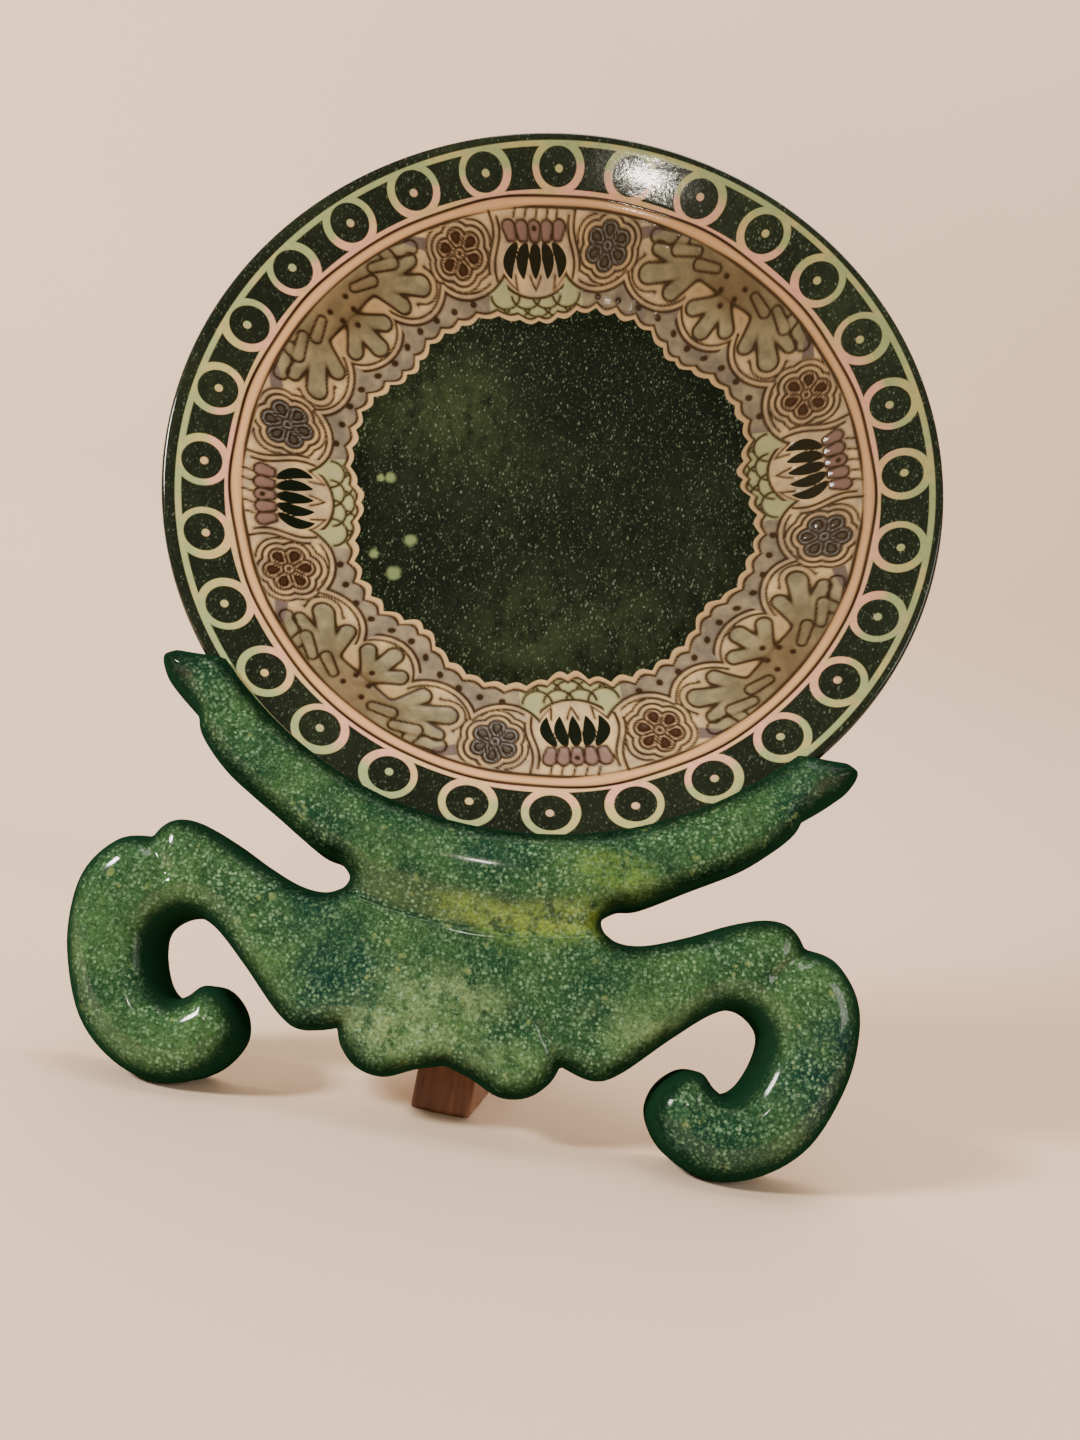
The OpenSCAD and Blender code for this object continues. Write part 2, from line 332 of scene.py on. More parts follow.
def leaf_drawing(side, tall):
    """A trefoil and a lobed leaf on each side, joined above, with smaller tongues over them."""
    leaves = merged([stroke(side, tall, (0, 113), (0, 101), 3.0, 3.8),
                     stroke(side, tall, (2, 113), (9.0, 106.2), 2.6, 3.3),
                     stroke(side, tall, (17, 117), (21.0, 105.5), 2.6, 3.4),
                     stroke(side, tall, (21, 116), (33.5, 105.5), 3.0, 4.3),
                     stroke(side, tall, (24, 117), (37.0, 115), 2.4, 2.8),
                     np.maximum(116 - tall, side - 33)], 0.8)
    tongues = fewest(stroke(side, tall, (10.5, 123), (18.0, 120), 1.9, 2.4),
                     merged([stroke(side, tall, (22, 123.5), (30.0, 119.2), 2.1, 2.6),
                             stroke(side, tall, (30, 124), (41.0, 118.2), 2.1, 2.9)], 0.4))
    outer = np.maximum(line(leaves - 2.8, LINE_W * 0.7), np.maximum(tall - 110, 26 - side))
    ink = fewest(line(leaves, LINE_W * 0.9), line(tongues, LINE_W * 0.8), outer)
    return fewest(leaves, tongues), ink


def ornament(x, y):
    """The fields of the pattern at points in the plane. Below zero is inside a shape."""
    # A hand's unsteadiness: everything is drawn a little out of place.
    shake = 0.35
    x, y = (x + shake * np.sin(y / 7.3 + 1.0) + shake * np.sin(x / 11 + y / 23),
            y + shake * np.sin(x / 8.1 + 0.4) + shake * np.sin(y / 13 - x / 19))
    r, angle = np.hypot(x, y), np.arctan2(y, x)
    from_lotus, from_leaf = nearest(angle, 4, math.pi / 2), nearest(angle, 4, math.pi / 4)
    u, v = -r * np.sin(from_lotus), r * np.cos(from_lotus)
    side, tall = np.abs(r * np.sin(from_leaf)), r * np.cos(from_leaf)

    # The wavy edge of the well with its cream strip, and the lobes above them.
    bay = 91.4 - 7.6 * hump(from_lotus, 0, 0.17) - 6.4 * hump(from_leaf, 0, 0.15)
    depth = 2.1 + 0.5 * np.sin(5 * angle + 2)
    strip = r - bay - depth * (1 - np.abs(np.sin(angle * SCALLOPS / 2)))
    from_lobe = nearest(angle, LOBES, math.pi / 2)
    lobe_at = LOBE_AT + 5 * np.sin(4 * (from_lotus - from_lobe)) ** 2
    lobes = np.hypot(r * np.cos(from_lobe) - lobe_at, r * np.sin(from_lobe)) - LOBE_R
    lobes = fewest(lobes, 106 - r)
    beside = np.abs(u) - LOTUS_X
    ink = fewest(line(strip, LINE_W), line(lobes, LINE_W),
                 np.maximum(line(lobes + 2.5, LINE_W * 0.8), -beside))

    # Pits along the band, and fish scales where it passes below the lotus.
    band = np.maximum(-lobes, -strip)
    from_pit = nearest(angle, SCALLOPS)
    pit_at = 91.2 + 0.8 * (bay - 84.4) + 0.5 * np.sin(9 * angle)
    pits = np.hypot(r - pit_at, r * np.sin(from_pit)) - 1.3
    pits = np.maximum(pits, 4 - beside)
    scales = np.maximum(band, beside - 4)
    near_row = [disc(u, v, (x0, 95.5), 6.2) for x0 in (-13.5, -4.5, 4.5, 13.5)]
    far_row = [disc(u, v, (x0, 91.5), 6.2) for x0 in (-18, -9, 0, 9, 18)]
    row_ink = fewest(*(np.maximum(line(d, LINE_W * 0.8), v - 95) for d in near_row))
    far_ink = np.maximum(fewest(*(line(d, LINE_W * 0.8) for d in far_row)), -fewest(*near_row))
    ink = fewest(ink, pits, np.maximum(fewest(row_ink, far_ink), scales))

    # The drawings above the band, each over the one before.
    field = np.maximum(lobes + 3.0, r - GROOVES[1] + 1.0)
    leaves, leaf_ink = leaf_drawing(side, tall)
    leaves = np.maximum(leaves, r - GROOVES[1] + 0.5)
    ink = fewest(ink, np.maximum(leaf_ink, r - GROOVES[1] + 0.5))
    blossom, flower_ink, loops = flower_drawing(u, v)
    waves = fewest(line(blossom - 2.5, LINE_W), line(blossom - 4.9, LINE_W * 0.8))
    halo = np.maximum(blossom - 5.4, field)
    ink = stamp(ink, halo, fewest(flower_ink, np.maximum(waves, field)))
    leaves = np.maximum(leaves, -halo)
    medallion, lotus_ink, dark_petals, heads = lotus_drawing(u, v)
    ink = stamp(ink, np.maximum(medallion, lobes + 1.0), np.maximum(lotus_ink, lobes + 0.8))
    blossom = np.maximum(blossom, -medallion)
    tongue = stroke(side, tall, (42, 121), (49, 112), 2.0, 3.0)
    seeds = fewest(*(disc(side, tall, seed, 1.05) for seed in ((5, 123), (3.6, 117.5), (0, 112.5))))
    ink = fewest(ink, seeds, *(line(r - groove, LINE_W * 1.1) for groove in GROOVES))
    return {
        "ink": ink, "well": strip + STRIP_W + 0.4 * np.sin(angle * 23), "strip": strip,
        "band": band, "scales": scales, "dark_petals": dark_petals, "heads": heads,
        "leaves": leaves, "blossom": blossom, "loops": loops,
        "tongue": np.maximum(tongue, -halo), "warm_side": -np.sign(u),
        "glow": hump(from_leaf, 0, 0.22) * step(104, 117, r),
    }


# ---- materials ----

def rgb(code):
    """A linear colour from a web colour such as 'E0B090'."""
    def linear(c):
        return c / 12.92 if c <= 0.04045 else ((c + 0.055) / 1.055) ** 2.4
    return tuple(linear(int(code[i:i + 2], 16) / 255) for i in (0, 2, 4)) + (1.0,)


class Shader:
    """Builds one procedural material. Sockets and numbers go wherever a value is wanted."""
    SOCKETS = {"color": "Base Color", "roughness": "Roughness", "normal": "Normal",
               "metallic": "Metallic", "coat": "Coat Weight", "coat_rough": "Coat Roughness",
               "coat_normal": "Coat Normal", "specular": "Specular IOR Level"}

    def __init__(self, name):
        self.material = bpy.data.materials.new(name)
        self.material.use_nodes = True
        self.tree = self.material.node_tree
        self.surface = self.tree.nodes["Principled BSDF"]

    def put(self, socket, value):
        if isinstance(value, bpy.types.NodeSocket):
            self.tree.links.new(value, socket)
        else:
            socket.default_value = value

    def node(self, kind, inputs=(), **settings):
        made = self.tree.nodes.new(kind)
        for key, value in settings.items():
            setattr(made, key, value)
        for key, value in dict(inputs).items():
            self.put(made.inputs[key], value)
        return made

    def set(self, **inputs):
        for key, value in inputs.items():
            self.put(self.surface.inputs[self.SOCKETS[key]], value)

    def stored(self, name, output="Fac"):
        return self.node("ShaderNodeAttribute", attribute_name=name).outputs[output]

    def math(self, operation, *values):
        made = self.node("ShaderNodeMath", operation=operation)
        for socket, value in zip(made.inputs, values):
            self.put(socket, value)
        return made.outputs[0]

    def ramp(self, value, low, high, out_low=0.0, out_high=1.0):
        inputs = {"Value": value, "From Min": low, "From Max": high, "To Min": out_low,
                  "To Max": out_high}
        made = self.node("ShaderNodeMapRange", inputs, interpolation_type="SMOOTHSTEP")
        return made.outputs["Result"]

    def within(self, distance, edge=0.15, offset=0.0):
        """One where a distance is below the offset."""
        return self.ramp(distance, offset - edge, offset + edge, 1.0, 0.0)

    def mix(self, share, a, b, blend="MIX"):
        made = self.node("ShaderNodeMix", data_type="RGBA", blend_type=blend)
        for index, value in ((0, share), (6, a), (7, b)):
            self.put(made.inputs[index], value)
        return made.outputs[2]

    def noise(self, vector, size, detail=3.0, roughness=0.5, distortion=0.0):
        inputs = {"Vector": vector, "Scale": 1 / size, "Detail": detail, "Roughness": roughness,
                  "Distortion": distortion}
        return self.node("ShaderNodeTexNoise", inputs).outputs["Fac"]

    def stretched(self, vector, scale, turn=(0, 0, 0), place=(0, 0, 0)):
        inputs = {"Vector": vector, "Scale": scale, "Rotation": turn, "Location": place}
        return self.node("ShaderNodeMapping", inputs).outputs["Vector"]

    def specks(self, vector, size, largest, smallest=0.0, soft=0.08):
        """Round specks, one to a cell, of random radii given as shares of the cell's size."""
        cell = self.node("ShaderNodeTexVoronoi", {"Vector": vector, "Scale": 1 / size})
        shade = self.node("ShaderNodeSeparateColor", {"Color": cell.outputs["Color"]})
        radius = self.ramp(shade.outputs["Red"], 0.0, 1.0, smallest, largest)
        inner = self.math("SUBTRACT", radius, soft)
        return self.ramp(cell.outputs["Distance"], inner, radius, 1.0, 0.0)

    def ruffled(self, vector, size, amount):
        """The same coordinates pushed about a little, so that shapes in them lose their outline."""
        push = self.node("ShaderNodeTexNoise", {"Vector": vector, "Scale": 1 / size, "Detail": 2.0})
        push = self.node("ShaderNodeVectorMath", {0: push.outputs["Color"], "Scale": amount},
                         operation="SCALE").outputs[0]
        return self.node("ShaderNodeVectorMath", {0: vector, 1: push}, operation="ADD").outputs[0]

    def crackle(self, vector, size, seed):
        """Touching flecks of uneven brightness, with dark gaps between them."""
        shifted = self.stretched(vector, (1, 1, 1), place=(seed, seed, seed))
        cell = self.node("ShaderNodeTexVoronoi", {"Vector": shifted, "Scale": 1 / size})
        shade = self.node("ShaderNodeSeparateColor", {"Color": cell.outputs["Color"]})
        bright = self.ramp(shade.outputs["Green"], 0.1, 1.0)
        return self.math("MULTIPLY", self.ramp(cell.outputs["Distance"], 0.6, 0.25), bright)

    def relief(self, height, depth, normal=None):
        """A bump whose height of one is so many millimetres."""
        inputs = {"Height": height, "Distance": depth * MM, "Strength": 1.0}
        if normal is not None:
            inputs["Normal"] = normal
        return self.node("ShaderNodeBump", inputs).outputs["Normal"]


def dark_speckle(s, place, r):
    """Speckled dark green: the well, the flange's gaps, the rim and the whole back."""
    slanted = s.stretched(place, (1.0, 0.6, 1.0), (0, 0, math.radians(25)))
    streaks = s.ruffled(slanted, 1.1, 0.9)
    cloud = s.math("ADD", s.stored("cloud"), s.ramp(s.noise(place, 60, 2), 0.4, 0.75, 0.0, 0.3))
    cloud = s.math("MULTIPLY", cloud, s.ramp(s.noise(streaks, 5, 4, 0.65), 0.25, 0.65))
    dark = s.mix(cloud, rgb("0F140E"), rgb("384228"))
    grain = s.math("MULTIPLY", s.ramp(s.noise(streaks, 1.4, 4, 0.75), 0.42, 0.8), 0.5)
    dark = s.mix(grain, dark, rgb("2A3420"))
    calm = s.ramp(r, 100, 134, 1.0, 0.7)
    dense = s.math("MULTIPLY", s.specks(streaks, 0.85, 0.5, -0.25, 0.25), calm)
    dark = s.mix(dense, dark, rgb("42503A"))
    sparse = s.math("MULTIPLY", s.specks(streaks, 1.5, 0.34, -0.2, 0.1), calm)
    dark = s.mix(s.math("MULTIPLY", sparse, 0.45), dark, rgb("74826A"))
    dark = s.mix(s.ramp(r, 128, 134, 0.0, 0.1), dark, rgb("38402C"))
    flat = s.ruffled(s.stretched(place, (1, 1, 0)), 3.0, 2.0)
    for x, y, radius in BLOTCHES:
        away = s.node("ShaderNodeVectorMath", {0: flat, 1: (x, y, 0)}, operation="DISTANCE")
        blot = s.ramp(away.outputs["Value"], radius * 0.5, radius * 1.15, 0.75, 0.0)
        dark = s.mix(s.math("MULTIPLY", blot, s.stored("front")), dark, rgb("7F9060"))
    return dark


def pale_ground(s, place, r):
    """The pale ground of the eyes and the rim: mint outside, pink inside, with cream patches."""
    drift = s.ramp(s.noise(place, 14), 0.3, 0.7, -0.35, 0.35)
    tone = s.math("ADD", s.ramp(r, 135, 151, 0.0, 1.0), drift)
    pale = s.mix(s.ramp(tone, 0.15, 0.85), rgb("EEB094"), rgb("9EB078"))
    pale = s.mix(s.ramp(s.noise(place, 17, 2), 0.45, 0.65, 0.0, 0.65), pale, rgb("CDBC76"))
    return s.mix(s.ramp(s.noise(place, 2.5, 3), 0.3, 0.7, 0.0, 0.2), pale, rgb("8C7458"))


def ornament_paint(s, r, worn, ink):
    """The ornament's colours, from the ground up."""
    cream = s.mix(s.ramp(worn, 0.3, 0.7), rgb("A08E76"), rgb("D4B684"))
    ground = s.mix(s.stored("glow"), cream, s.mix(worn, rgb("8A6038"), rgb("B4864C")))
    band = s.mix(s.ramp(worn, 0.35, 0.7), rgb("6E665A"), rgb("94866C"))
    ground = s.mix(s.within(s.stored("band"), 0.3), ground, band)
    ground = s.mix(s.within(s.stored("scales")), ground, s.mix(worn, rgb("84926E"), rgb("B4AA78")))
    leaf = s.mix(s.ramp(worn, 0.3, 0.75), rgb("706C56"), rgb("9E9270"))
    leaf = s.mix(s.math("MULTIPLY", s.stored("glow"), 0.6), leaf, rgb("5E4424"))
    rim_light = s.within(s.stored("leaves"), 0.6, 2.2)
    ground = s.mix(s.math("MULTIPLY", rim_light, 0.7), ground, rgb("B09A70"))
    ground = s.mix(s.within(s.stored("leaves")), ground, leaf)
    ground = s.mix(s.within(s.stored("tongue"), 0.5), ground, rgb("6B5E58"))
    warm = s.within(s.math("MULTIPLY", s.stored("warm_side"), -1.0), 0.3)
    bloom = s.mix(warm, rgb("848A84"), rgb("C6A884"))
    ground = s.mix(s.within(s.stored("blossom")), ground, bloom)
    loop = s.mix(warm, rgb("44463E"), rgb("3C281E"))
    ground = s.mix(s.within(s.stored("loops")), ground, loop)
    ground = s.mix(s.within(s.stored("heads")), ground, s.mix(worn, rgb("6E564E"), rgb("8C7266")))
    ground = s.mix(s.within(s.stored("strip"), 0.3), ground, rgb("BC9E72"))
    ground = s.mix(s.within(s.math("SUBTRACT", GROOVES[1], r), 0.3), ground, rgb("D6A878"))
    ground = s.mix(s.within(s.stored("dark_petals")), ground, rgb("12180E"))
    # Painted shade: a darker brown band over the walls of each cut line.
    ground = s.mix(s.ramp(s.stored("ink"), 0.1, 1.2, 0.35, 0.0), ground, rgb("4A2E14"))
    return s.mix(s.math("MULTIPLY", ink, 0.92), ground, rgb("28180C"))


def dark_areas(s, r):
    """Below zero in the gaps between the eyes, in their discs and on the rim."""
    gaps = s.math("SUBTRACT", s.stored("outer"), BAND_OUT)
    gaps = s.math("MAXIMUM", gaps, s.math("SUBTRACT", EYE_RING, s.stored("ring")))
    gaps = s.math("MAXIMUM", gaps, s.math("SUBTRACT", BAND_IN, r))
    dot = s.math("SUBTRACT", EYE_DOT, s.stored("pupil"))
    eyes = s.math("MAXIMUM", dot, s.math("SUBTRACT", s.stored("eye"), EYE_DISC))
    rim = s.math("SUBTRACT", RIM_LINE, s.stored("outer"))
    return s.math("MINIMUM", s.math("MINIMUM", gaps, eyes), rim)


def plate_glaze():
    s = Shader("plate_glaze")
    place, r, front = s.stored("place", "Vector"), s.stored("r"), s.stored("front")
    worn = s.noise(place, 9, 5, 0.6)
    ink = s.within(s.stored("ink"), 0.35, 0.14)
    dark, darks = dark_speckle(s, place, r), dark_areas(s, r)

    # The ornament and the ring of eyes, with painted shade darkening them towards the upper right, and
    # the dark well inside them.
    beyond = s.within(s.math("SUBTRACT", GROOVES[0], r), 0.2)
    eye_ground = s.mix(ink, pale_ground(s, place, r), rgb("24140A"))
    top = s.mix(beyond, ornament_paint(s, r, worn, ink), eye_ground)
    # Painted shade: the ornament and the eyes turn darker brown towards the upper right.
    painted_shade_side = s.node("ShaderNodeVectorMath", {0: place, 1: (0.7, 0.7, 0)}, operation="DOT_PRODUCT")
    top = s.mix(s.ramp(painted_shade_side.outputs["Value"], -90, 130, 0.0, 0.45), top, rgb("2C2418"))
    top = s.mix(s.within(s.stored("well"), 0.25), s.mix(s.within(darks, 0.25), top, dark), dark)
    color = s.mix(front, dark, top)
    color = s.mix(s.stored("bare"), color, s.mix(worn, rgb("B98F68"), rgb("CBA57D")))

    carved = s.math("MULTIPLY", s.ramp(r, 76, 84), s.ramp(r, 136, 129))
    painted = s.math("MULTIPLY", s.math("SUBTRACT", 1.0, s.within(darks, 0.35)), front)
    bump = s.relief(painted, 0.05, s.relief(s.noise(place, 2.2, 3), 0.015))
    s.set(color=color, roughness=s.ramp(worn, 0.2, 0.8, 0.38, 0.5), normal=bump, specular=0.0,
          coat=s.ramp(carved, 0.0, 1.0, 0.6, 0.15), coat_rough=0.07,
          coat_normal=s.relief(s.noise(place, 1.6, 2), 0.012, s.relief(s.noise(place, 7, 2), 0.03)))
    return s.material


# ---- the plate ----

# Points round a ring where it is carved, and where it is plain
FINE, COARSE = 960, 240
# How far the pattern is turned, so that a lotus stands where the real one does
PLATE_TURN = math.radians(14)
RIM_ROUND = 2.4
# The direction in which the dark rim is wider, and by how much
WIDE_RIM_AT, WIDER_RIM = math.radians(165), 2.4
FIRST_EYE = math.radians(111.8)
GROOVE_DEPTH, RELIEF = 0.24, 0.14
# Pale blotches in the well's glaze: x, y and radius
BLOTCHES = ((-55, -32, 3.2), (-59, -48, 3.6), (-69, -5, 2.8), (-73, -6, 2.2), (-69, -41, 2.6))
# Paler clouds in it: x, y, size and strength
CLOUDS = ((-50, 34, 28, 0.6), (2, -66, 26, 0.6), (43, -54, 22, 0.45))


def cad_profile(radii, way):
    """Heights of the CAD plate's face (way 1) or underside (way -1) at some radii."""
    source = frame["nodes"]["plate"]
    polygons = [tuple(p.vertices) for p in source.data.polygons]
    tree = BVHTree.FromPolygons([Vector(p) for p in LEAN.inward(mesh_points(source))], polygons)
    heights = []
    for radius in radii:
        hit = tree.ray_cast(Vector((0.01, float(radius), way * 100.0)), Vector((0, 0, -way)))
        heights.append(hit[0].z)
    return np.array(heights)


def smooth_profile(radii, way, window):
    """The CAD profile with its short straight runs turned into one curve."""
    pitch = 0.25
    fine = np.arange(0.5, PLATE_R - 0.5, pitch)
    heights = cad_profile(fine, way)
    count = int(window / pitch) | 1
    padded = np.pad(heights, count // 2, mode="edge")
    heights = np.convolve(padded, np.ones(count) / count, mode="valid")
    return np.interp(radii, fine, heights)


def plate_rings():
    """The rings of the face, the rim and the back, and how many points lie on the face."""
    edge = PLATE_R - RIM_ROUND
    inner = np.array([2.5, 5, 9, 14, 20, 26, 32, 38, 44, 50, 56, 62, 67, 72, 76])
    columns = [30, 30, 60, 60, 120, 120] + [COARSE] * 9
    carved = np.arange(79.5, 128.4, 0.8)
    flange = [128.8, 129.2, 131.4, 133.1, 133.6, 134.2, *np.arange(136, 142, 1.2),
              *np.arange(142.2, 147.6, 0.9), *np.arange(148.2, edge, 1.3)]
    radii = np.concatenate([inner, carved, flange])
    counts = columns + [FINE] * (len(carved) + len(flange))
    rings = list(zip(radii, smooth_profile(radii, 1, 3.0), counts))
    top_edge, under_edge = smooth_profile([edge], 1, 1.0)[0], cad_profile([edge], -1)[0]
    middle, half = (top_edge + under_edge) / 2, (top_edge - under_edge) / 2
    for bend in np.radians(np.arange(75, -76, -15)):
        reach = min(RIM_ROUND, half)
        rings.append((edge + reach * math.cos(bend), middle + half * math.sin(bend), COARSE))
    below = np.concatenate([np.arange(edge, 96, -4.0), np.arange(95.5, 83, -0.75),
                            [81, 76, 70, 62, 54, 46, 38, 30, 22, 14, 6]])
    back_counts = [COARSE] * (len(below) - 4) + [120, 60, 60, 30]
    rings += list(zip(below, smooth_profile(below, -1, 0.7), back_counts))
    return rings, sum(counts)


def carved_heights(fields, r, front):
    """How far the ornament is raised or cut in at each point, and the well lowered."""
    zone = front & (fields["well"] > -0.5) & (r < BAND_IN)
    carved_in = np.exp(-(np.maximum(fields["ink"], 0) / 0.8) ** 2)
    raised = 0.5 * step(0.4, -1.2, fields["leaves"]) + 0.5 * step(0.4, -1.2, fields["blossom"])
    raised += 0.4 * step(0.2, -0.8, fields["heads"]) - 0.15 * step(0.3, -0.6, fields["band"])
    raised += 0.4 * step(0.5, -0.8, fields["dark_petals"]) - 0.8 * step(0.2, -0.3, fields["well"])
    lift = np.where(zone, RELIEF * raised - GROOVE_DEPTH * carved_in, 0)
    return np.where(front & (fields["well"] <= -0.5), -0.8 * RELIEF, lift)


def store_eyes(obj, points, r):
    """Distances from each eye's uneven centre, and the radius that the rim's edge follows."""
    around = np.arctan2(points[:, 1], points[:, 0])
    from_eye = nearest(around, EYES, FIRST_EYE)
    wide_side = np.abs(nearest(around, 1, WIDE_RIM_AT))
    store(obj, "outer", r + WIDER_RIM * hump(wide_side, 0, 1.0))
    which = np.round((around - FIRST_EYE) * EYES / (2 * math.pi)) % EYES
    flatter = 0.5 - 0.5 * np.sin(around)
    for name, uneven in (("ring", 0.25), ("eye", 0.35), ("pupil", 0.6)):
        centre_r = EYE_R - 0.6 * flatter + uneven * np.sin(5.1 * which + 9 * uneven)
        outward = (r * np.cos(from_eye) - centre_r) * (1 + 0.14 * flatter)
        across = uneven * np.sin(2.3 * which + 20 * uneven)
        store(obj, name, np.hypot(outward, r * np.sin(from_eye) - across))


def build_plate():
    rings, front_count = plate_rings()
    points, faces = lathe(rings)
    front = np.arange(len(points)) < front_count
    x = points[:, 0] * math.cos(PLATE_TURN) + points[:, 1] * math.sin(PLATE_TURN)
    y = points[:, 1] * math.cos(PLATE_TURN) - points[:, 0] * math.sin(PLATE_TURN)
    r = np.hypot(x, y)
    fields = ornament(x, y)
    points[:, 2] += carved_heights(fields, r, front)
    obj = make_object("glazed_plate", LEAN.outward(points), faces, plate_glaze())

    store_eyes(obj, points, r)
    store(obj, "r", r)
    store(obj, "place", points)
    store(obj, "front", front)
    foot_low = points[:, 2].min()
    store(obj, "bare", step(foot_low + 0.6, foot_low + 0.2, points[:, 2]))
    clouds = (strength * hump(disc(*points[:, :2].T, (cloud_x, cloud_y), 0), 0, size)
              for cloud_x, cloud_y, size, strength in CLOUDS)
    store(obj, "cloud", sum(clouds))
    for name, values in fields.items():
        store(obj, name, values)
    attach(obj, "plate")
    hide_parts("plate")


# ---- the carved panel ----

PANEL_PITCH = 1.25
# Where the CAD outline is taken, in front of the rim's plane
OUTLINE_HEIGHT = 4.0
# The crease under the crescent, measured from the lip
CREASE_DOWN = 38.0
# Heights of the crescent's face, the apron's face and the back
CRESCENT_FRONT, APRON_FRONT, BACK = 11.0, 8.0, -23.0
# How far the crescent's face falls away towards the crease
BARREL = 5.5
# The groove for the rim: its back and front, and the gap round the rim
GROOVE_BACK, GROOVE_FRONT = -9.0, 0.6
GROOVE_GAP = 0.4
# Rounding of the edges: at the back, on the face, and how much less or more it is in places
BACK_ROUND, FACE_ROUND = 4.0, 9.0
LIP_LESS, CURL_MORE, ARM_MORE = 1.5, 4.5, 3.5
# The right arm's tip, which the left one mirrors
ARM_TIP = (133, -109)
# Carved creases: start, end, width and depth
CREASES = (((41, -236), (31, -221), 1.2, 1.1), ((-41, -237), (-36, -230), 2.2, 0.8),
           ((125, -176), (114, -190), 3.2, 2.4), ((-125, -176), (-114, -190), 3.2, 2.4),
           ((117, -131), (123, -117), 2.6, 1.8), ((-117, -131), (-123, -117), 2.6, 1.8))
# Soft swellings: centre, size and height
SWELLINGS = (((-18, -228), 15, 0.6), ((20, -232), 13, 0.5),
             ((-62, -207), 22, 0.6), ((62, -205), 22, 0.6))
# Washes, streaks and patches of colour in the lacquer: x, y, size and strength
TEAL_WASHES = ((-42, -219, 28, 0.75), (142, -221, 36, 1.0), (0, -156, 24, 0.5),
               (-60, -190, 24, 0.45), (86, -248, 20, 0.4), (118, -120, 22, 0.6))
YELLOW_STREAKS = ((18, -187, 12, 1.0), (-3, -184, 10, 0.9), (40, -181, 13, 1.0),
                  (47, -163, 12, 1.0), (66, -174, 10, 0.6))
PALE_PATCHES = ((-21, -231, 15, 0.85), (-4, -216, 15, 0.75), (16, -234, 12, 0.5),
                (70, -216, 16, 0.45))


def panel_front(x, y, crease_r):
    """Height of the panel's face: a barrel-shaped crescent above a crease, and the apron below."""
    r = np.hypot(x, y)
    crescent = CRESCENT_FRONT - BARREL * ((r - (crease_r - 22)) / 21) ** 2
    apron = APRON_FRONT - 0.4 + 0.3 * hump(r, crease_r + 2.6, 2.2) + 0.12 * hump(r, crease_r + 12, 4.0)
    height = crescent + (apron - crescent) * step(crease_r - 1.4, crease_r + 1.0, r)
    height = height + 0.35 * np.sin((x + 18) / 16)
    for start, end, width, depth in CREASES:
        height = height - depth * hump(stroke(x, y, start, end, 0.0), 0, width)
    for centre, size, amount in SWELLINGS:
        height = height + amount * hump(np.hypot(x - centre[0], y - centre[1]), 0, size)
    return height


def panel_rounding(x, y, lip_r):
    """Radius of the face's carved edge: tight at the lip and full along the curls and arm tips."""
    r = np.hypot(x, y)
    curl = step(62, 96, np.abs(x)) * step(-168, -182, y)
    arm = step(92, 126, np.abs(x)) * step(-172, -150, y)
    lip = step(12, 3, r - lip_r)
    return FACE_ROUND - LIP_LESS * lip + CURL_MORE * curl + ARM_MORE * arm


def build_panel():
    outline = Outline("front_panel", LEAN, OUTLINE_HEIGHT)
    lip_r = np.hypot(*outline.segments.reshape(-1, 2).T).min()
    groove_r = PLATE_R + GROOVE_GAP
    crease_r = lip_r + CREASE_DOWN
    tilt, table = LEAN.rows[:, 2], LEAN.origin[2] / MM

    def solid(x, y, z):
        r, edge = np.hypot(x, y), outline(x, y)
        body = rounded_corner(z - panel_front(x, y, crease_r), edge, panel_rounding(x, y, lip_r))
        body = np.maximum(body, rounded_corner(BACK - z, edge, BACK_ROUND))
        groove = np.maximum(r - groove_r, np.maximum(GROOVE_BACK - z, z - GROOVE_FRONT))
        body = np.maximum(body, -groove)
        return np.maximum(body, -(tilt[0] * x + tilt[1] * y + tilt[2] * z + table))

    low = np.append(outline.low, BACK - 2)
    high = np.append(outline.high, CRESCENT_FRONT + 3)
    points, placed, faces = skin(solid, LEAN, low, high, PANEL_PITCH)
    obj = make_object("carved_panel", placed, faces, panel_lacquer())
    x, y, z = points.T
    store(obj, "place", points)
    store(obj, "edge", -outline(x, y))
    store(obj, "past_crease", np.hypot(x, y) - crease_r)
    store(obj, "from_tip", np.hypot(np.abs(x) - ARM_TIP[0], y - ARM_TIP[1]))
    store(obj, "depth", panel_front(x, y, crease_r) - z)
    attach(obj, "stand")
    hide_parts("front_panel")


